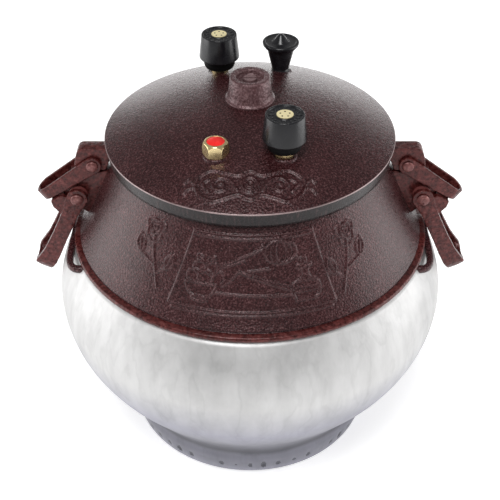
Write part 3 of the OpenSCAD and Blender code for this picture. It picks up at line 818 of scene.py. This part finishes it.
def build_lid():
    """The enamelled outside of the lid, with the cartouche cast near its front edge."""
    fine = 1
    hub_r = 19.5 * MM
    radii = even(hub_r + 0.5 * MM, 74 * MM, 3 * MM) + even(74.5 * MM, 106 * MM, 0.5 * MM * fine)
    radii += even(107 * MM, LID_R - 0.9 * MM, 1 * MM)
    hub_z = lid_top(12 * MM)
    dome = [(0, hub_z), (hub_r - 0.4 * MM, hub_z), (hub_r, hub_z - 0.3 * MM)]
    dome += [(r, faired(lid_top, r, min(3 * MM, LID_R - 0.6 * MM - r))) for r in radii]
    edge = [(LID_R - 0.35 * MM, LID_Z + 0.02 * MM), (LID_R, LID_Z - 0.4 * MM),
            (LID_R - 0.05 * MM, LID_Z - 0.9 * MM)]
    side = [(LID_R + (SKIRT_R - LID_R) * t, LID_Z + (SKIRT_Z - LID_Z) * t)
            for t in (0.25, 0.5, 0.75, 0.95)]
    under = [(SKIRT_R - 0.5 * MM, SKIRT_Z), (GROOVE_OUT + 0.4 * MM, SKIRT_Z),
             (GROOVE_OUT, SKIRT_Z + 0.4 * MM), (GROOVE_OUT, GROOVE_Z + 2 * MM)]
    lining = [(r, lid_top(max(r, hub_r + 1 * MM)) - 2.5 * MM) for r in even(GROOVE_IN, 0, 6 * MM)]
    outline = dome + edge + side + under + lining

    def lift(verts, _):
        """Raises the drawing on the outer surface, and not on the lining under it."""
        raised = drawn_height(verts[:, 0], verts[:, 1], lid_strokes(), LID_LINE)
        spread = np.minimum(np.hypot(verts[:, 0], verts[:, 1]) / LID_R, 1)
        dome_z = LID_Z + 29 * MM * (1 - spread ** 2)
        on_top = (verts[:, 2] > LID_Z) & (verts[:, 2] >= dome_z - 1.5 * MM)
        verts[:, 2] += np.where(on_top, raised, 0)
        return verts

    skin = turn("lid_skin", outline, dense_angles(34, 0.3 * fine, 1.5, False), lift=lift)
    pad = rounded([(0, SEAT_Z - 3 * MM), (SEAT_R + 1.5 * MM, SEAT_Z - 8 * MM),
                   (SEAT_R + 0.3 * MM, SEAT_Z - 1 * MM, 1.2 * MM),
                   (SEAT_R - 0.8 * MM, SEAT_Z, 0.9 * MM), (0, SEAT_Z)], 6)
    seats = [turn("seat", pad, even_angles(64), middle(node)) for node in FITTINGS]
    lid = joined("lid_shell", [skin] + seats)
    finish_piece(lid, DARK_ENAMEL, "lid", "brown_enamel", "lid_cover")
    lid.data.materials.append(RIM_ENAMEL)
    lid.data.materials.append(RIM_EDGE_HIGHLIGHT)
    for face in lid.data.polygons:
        spread = math.hypot(face.center.x, face.center.y)
        # The skirt takes the darker enamel: painted shade.
        if SKIRT_R - 1 * MM < spread and face.center.z < LID_Z - 0.8 * MM:
            face.material_index = 1
        # The top's outer edge takes the paler metal: a painted highlight.
        elif spread > LID_R - 0.45 * MM:
            face.material_index = 2


def build_lid_lining():
    """The bare underside of the lid: the spigot that centres it, the groove and the pads."""
    dome = [(r, lid_under(r)) for r in even(11 * MM, 88 * MM, 4 * MM)]
    boss_z = lid_under(2 * MM)
    boss = [(0, boss_z), (9.2 * MM, boss_z), (9.7 * MM, boss_z + 0.5 * MM)]
    spigot = [(SPIGOT_IN, SKIRT_Z + 3 * MM), (SPIGOT_IN, SPIGOT_Z + 0.5 * MM),
              (SPIGOT_IN + 0.5 * MM, SPIGOT_Z), (SPIGOT_OUT - 0.5 * MM, SPIGOT_Z),
              (SPIGOT_OUT, SPIGOT_Z + 0.5 * MM), (SPIGOT_OUT, SKIRT_Z)]
    groove = [(GROOVE_IN, SKIRT_Z), (GROOVE_IN, GROOVE_Z), (GROOVE_OUT - 0.01 * MM, GROOVE_Z),
              (GROOVE_OUT - 0.01 * MM, GROOVE_Z + 2 * MM)]
    inner = [(r, lid_top(max(r, 21 * MM)) - 3 * MM) for r in even(GROOVE_IN, 0, 6 * MM)]
    skin = turn("lining", boss + dome + spigot + groove + inner, even_angles(160))
    pad_z = high("front_vent_nut").z
    pad = [(0, pad_z), (SEAT_R - 0.5 * MM, pad_z), (SEAT_R, pad_z + 0.5 * MM),
           (SEAT_R, pad_z + 4 * MM), (0, pad_z + 5 * MM)]
    pads = [turn("pad", pad, even_angles(48), middle(node)) for node in FITTINGS]
    lining = joined("lid_lining", [skin] + pads)
    finish_piece(lining, CAST_ALUMINIUM, "lid", "cast_aluminium", "lid_cover")


def build_ears():
    """The ear at each side of the lid that holds a link's pin."""
    outline = [(104.5, 268), (104.5, 265), (106, 264.4), (112.8, 246.4, 1), (114.6, 244.8, 1),
               (131, 244.8, 2), (136, 246.2, 2), (138, 248.6, 2), (136.9, 255.6, 3), (135.2, 261, 2),
               (133.6, 263.4, 2), (131, 264.6, 1), (109.4, 264.6), (109.4, 268)]
    right = plate("right_lid_ear", in_metres(rounded(outline)), 6.2 * MM, 0.9 * MM)
    left = mirrored(right, "left_lid_ear")
    for piece in (right, left):
        finish_piece(piece, RED_ENAMEL, "lid", "red_brown_enamel", "lid_cover")


def build_knob():
    """The cup-shaped knob, with a flared foot and a dished top."""
    z = low("lid_knob").z
    tall = (high("lid_knob").z - z) / MM
    outline = [(3, 0), (18.9, 0, 0.5), (18.9, 1.1, 0.8), (17.4, 2.4, 1.5), (16.6, 5.2, 2),
               (15.1, tall, 1.2), (10.9, tall, 0.7), (10.1, tall - 1.2, 1), (9.4, tall - 4, 1.2),
               (3, tall - 4)]
    knob = turn("lid_knob_cast", rounded(in_metres(outline, z)), closed=True)
    uneven(knob, 0.07 * MM, 4 * MM)
    # The knob takes the lighter copy of the lid's enamel, a painted sheen.
    finish_piece(knob, LIT_KNOB_ENAMEL, "lid", "brown_enamel", "lid_knob")


# ---------------------------------------------------------------- fittings on the lid

def turned_piece(name, node, outline, material, body, slot, closed=False):
    """A turned piece that stands for a node: outline in millimetres above the node's base."""
    points = rounded(in_metres(outline, low(node).z))
    piece = turn(name, points, even_angles(72), middle(node), closed=closed)
    return finish_piece(piece, material, body, slot, node)


def build_weight(side):
    """A pressure weight: moulded cap with plain marks, metal core, and brass disc with holes."""
    cap, core = f"{side}_weight_cap", f"{side}_weight_core"
    body = f"{side}_weight"
    z, cx, cy = low(cap).z, *middle(cap)
    tall = (high(cap).z - z) / MM
    outline = [(0, tall - 4.5), (11, tall - 4.5), (11, 0), (15.5, 0, 0.4), (16.1, 0.8, 0.5),
               (13.95, tall, 1.2), (12.5, tall, 0.4), (12.1, tall - 0.9, 0.3),
               (7.6, tall - 0.9, 0.3), (7.1, tall - 0.3, 0.3), (6.05, tall - 0.3),
               (6.05, tall - 2), (0, tall - 2)]
    shell = turn("shell", rounded(in_metres(outline, z)), even_angles(96), (cx, cy))
    marks = [raised_mark(cx, cy, 9.8 * MM, a, z + (tall - 0.9) * MM, long)
             for a, long in mark_angles()]
    piece = joined(f"{side}_weight_cap_moulded", [shell] + marks)
    finish_piece(piece, BLACK_PLASTIC, body, "black_plastic", cap)
    bore, deep = 5.4, (high("front_vent_pipe").z - low(core).z) / MM + 0.1
    bottom = (low(cap).z - low(core).z) / MM
    turned_piece(f"{side}_weight_core_turned", core,
                 [(0, deep), (bore, deep - 1), (bore, 0, 0.4), (11.4, 0, 0.8), (12.4, 2.4, 0.8),
                  (13, bottom, 0.2), (11, bottom), (11, bottom + 15.4), (0, bottom + 15.4)],
                 BLACK_METAL, body, "black_metal")
    disc = f"{side}_weight_disc"
    paint_node(disc, DISC_BRASS)
    mesh = NODES[disc].data
    # The walls of the holes inside the brass disc take the black metal: painted shade in the holes.
    mesh.materials.append(BLACK_METAL)
    holes_within = high(disc).x - middle(disc)[0] - 0.6 * MM
    for face in mesh.polygons:
        if abs(face.normal.z) < 0.5 and math.dist(face.center.xy, middle(disc)) < holes_within:
            face.material_index = 1


def mark_angles():
    """Plain raised marks round the weight's top: long ones at the quarters and short between."""
    return [(2 * math.pi * k / 16, k % 4 == 0) for k in range(16)]


def raised_mark(cx, cy, radius, angle, z, long):
    """One small raised bar that points at the centre."""
    along, across, tall = (1.9 if long else 1.1) * MM, 0.55 * MM, 0.45 * MM
    corners = [(-along, -across), (along, -across), (along, across), (-along, across)]
    verts = []
    for height, shrink in ((-0.3 * MM, 1.0), (tall * 0.6, 1.0), (tall, 0.7)):
        for u, v in corners:
            du, dv = (radius + u * shrink), v * shrink
            verts.append((cx + du * math.sin(angle) + dv * math.cos(angle),
                          cy - du * math.cos(angle) + dv * math.sin(angle), z + height))
    faces = [[3, 2, 1, 0], [8, 9, 10, 11]]
    faces += [[b + k, b + (k + 1) % 4, b + 4 + (k + 1) % 4, b + 4 + k] for b in (0, 4) for k in range(4)]
    return make_piece("mark", verts, faces)


def build_vents():
    """The vent pipe under each weight, with its nut and strainer inside the lid."""
    for side in ("front", "rear"):
        pipe = f"{side}_vent_pipe"
        deep = (SEAT_Z - low(pipe).z) / MM
        turned_piece(f"{side}_vent_pipe_turned", pipe,
                     [(1.5, 0), (5, 0, 0.4), (5, deep), (7, deep, 0.3), (7, deep + 3.2, 0.8),
                      (5, deep + 4, 0.3), (5, 31.5, 1), (2.4, 34, 0.4), (1.5, 34)],
                     BRASS, "lid", "brass", closed=True)
        paint_node(f"{side}_vent_nut", BRASS)
        paint_node(f"{side}_vent_strainer", STEEL)


def build_safety_valve():
    """The brass hexagon with its red plug, and the nut inside the lid."""
    body = softened("safety_valve_hexagon", "safety_valve_body", 0.2 * MM, 6)
    finish_piece(body, BRASS, "lid", "brass", "safety_valve_body")
    z = low("safety_plug").z
    deep = (high("safety_plug").z - z) / MM
    turned_piece("safety_plug_moulded", "safety_plug",
                 [(0, 0), (3, 0), (3, deep - 3.6), (6.55, deep - 3.6, 0.3),
                  (6.55, deep - 0.9, 0.6), (3, deep - 0.1, 2), (0, deep)], RED_RUBBER, "lid", "red_rubber")
    paint_node("safety_valve_nut", BRASS)


def build_release():
    """The steam release: its trumpet-shaped knob, and the parts under it."""
    z = low("release_knob").z
    tall = (high("release_knob").z - z) / MM
    flange = tall - 11.3
    trumpet = [(6.6 + 4.6 * k / 10, 2.2 + (flange - 2.2) * k / 10) for k in range(11)]
    outline = [(0, 3.6), (5.2, 3.6), (5.2, 0), (7.3, 0, 0.3), (7.3, 1.4, 0.4)] + trumpet
    outline += [(12.6, flange, 0.4), (13.1, flange + 1.9, 0.3), (14.3, flange + 2.1, 0.4),
                (14.6, flange + 4.4, 0.5), (13.8, flange + 5, 0.5), (12.4, flange + 5, 0.4),
                (11.8, flange + 4.3, 0.4), (7, flange + 4.3, 0.8), (5.8, flange + 5.6, 0.6),
                (1.7, tall - 0.6, 1.2), (0, tall)]
    turned_piece("release_knob_moulded", "release_knob", outline, BLACK_PLASTIC, "release", "black_plastic")
    for node, material in (("release_stem", STEEL), ("release_clip", STEEL), ("release_seal", BLACK_RUBBER),
                           ("release_bushing", BRASS), ("release_nut", BRASS)):
        paint_node(node, material)
    build_release_spring()


def build_release_spring():
    """The return spring, copied from the node's coil; it rides on the lid."""
    coil = NODES["release_spring"].data
    spring = make_piece("release_spring_wire", [v.co[:] for v in coil.vertices],
                        [face.vertices[:] for face in coil.polygons])
    finish_piece(spring, STEEL, "lid", "steel", "release_spring")
    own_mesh(spring)


def paint_screw_and_gasket():
    # The screw takes the knob's lighter enamel, a painted sheen.
    paint_node("knob_screw", LIT_KNOB_ENAMEL)
    paint_node("lid_gasket", SILICONE)


# ---------------------------------------------------------------- clamps

def build_clamps():
    """Each side's lever, link and two riveted pins."""
    for side in ("left", "right"):
        lever = softened(f"{side}_lever_cast", f"{side}_lever", 0.5 * MM, 3, 0.16 * MM, 2.6 * MM)
        finish_piece(lever, RED_ENAMEL, f"{side}_lever", "red_brown_enamel", f"{side}_lever")
        strap = softened(f"{side}_link_strap", f"{side}_link", 0.4 * MM, 2)
        finish_piece(strap, RED_ENAMEL, f"{side}_link", "red_brown_enamel", f"{side}_link")
        sign = 1 if side == "right" else -1
        for pin, body, at in (("link_pin", "lid", LINK_PIN), ("lever_pin", "pot", LEVER_PIN)):
            build_rivet(f"{side}_{pin}", body, Vector((sign * at.x, 0, at.z)))


def build_rivet(node, body, at):
    """A rivet across the clamp, with two hammered heads."""
    head_r = (high(node).x - low(node).x) / 2
    end = high(node).y
    shank, thick = (3 * MM, 2.2 * MM) if "link" in node else (4 * MM, 2.4 * MM)
    head = [(head_r * math.cos(a), end - thick + 0.7 * MM + (thick - 0.7 * MM) * math.sin(a))
            for a in (math.pi / 2 * k / 6 for k in range(6))]
    outline = [(shank, 0), (shank, end - thick), (head_r - 0.2 * MM, end - thick)] + head + [(0, end)]
    piece = turned_across(f"{node}_riveted", outline, at)
    uneven(piece, 0.08 * MM, 3 * MM)
    # The heads take the lighter copy of the red enamel, a painted highlight.
    finish_piece(piece, HIGHLIT_RIVET_ENAMEL, body, "red_brown_enamel", node)


# ---------------------------------------------------------------- stage

def build_stage():
    """A plain pale floor, a white world and four softboxes."""
    half, floor_z = 4, -0.0002
    corners = [(-half, -half, floor_z), (half, -half, floor_z), (half, half, floor_z),
               (-half, half, floor_z)]
    floor = make_piece("floor", corners, [[0, 1, 2, 3]])
    material, shader = new_material("pale_floor", (0.94, 0.94, 0.94), 0.0, 0.6)
    shader.inputs["Emission Color"].default_value = (1, 1, 1, 1)
    shader.inputs["Emission Strength"].default_value = 0.45
    floor.data.materials.append(material)

    world = bpy.data.worlds.new("studio")
    bpy.context.scene.world = world
    world.use_nodes = True
    sky = world.node_tree.nodes["Background"]
    sky.inputs["Color"].default_value = (1, 1, 1, 1)
    sky.inputs["Strength"].default_value = 0.34

    add_light("left_box", (-1.05, 0.02, 0.36), (0, 0.02, 0.22), (0.85, 0.66), 5.2)
    add_light("right_box", (1.05, 0.02, 0.36), (0, 0.02, 0.22), (0.85, 0.66), 5.2)
    add_light("rear_box", (0.1, 1.25, 0.3), (0, 0, 0.25), (1.5, 0.45), 3.6)
    add_light("top_box", (-0.15, -0.8, 1.5), (0, 0, 0.15), (0.6, 0.6), 15)


def add_light(name, at, target, size, power):
    """A softbox of the given width and height, turned to face the target."""
    data = bpy.data.lights.new(name, "AREA")
    data.shape = "RECTANGLE"
    data.size, data.size_y = size
    data.energy = power
    light = bpy.data.objects.new(name, data)
    light.location = at
    light.rotation_euler = (Vector(target) - Vector(at)).to_track_quat("-Z", "Y").to_euler()
    bpy.context.scene.collection.objects.link(light)


def build_camera():
    """The photograph's viewpoint: in front of the pot and well above it, looking down."""
    data = bpy.data.cameras.new("camera")
    data.lens = 76.75
    data.sensor_width = 36
    camera = bpy.data.objects.new("camera", data)
    camera.location = (0, -0.7082, 0.7097)
    camera.rotation_euler = (math.radians(52.22), 0, 0)
    bpy.context.scene.collection.objects.link(camera)
    bpy.context.scene.camera = camera


bpy.context.scene.view_settings.view_transform = "Standard"
build_camera()
build_stage()
build_pot_belly()
build_pot_shoulder()
build_lugs()
build_lid()
build_lid_lining()
build_ears()
build_knob()
paint_screw_and_gasket()
for weight_side in ("front", "rear"):
    build_weight(weight_side)
build_vents()
build_safety_valve()
build_release()
build_clamps()
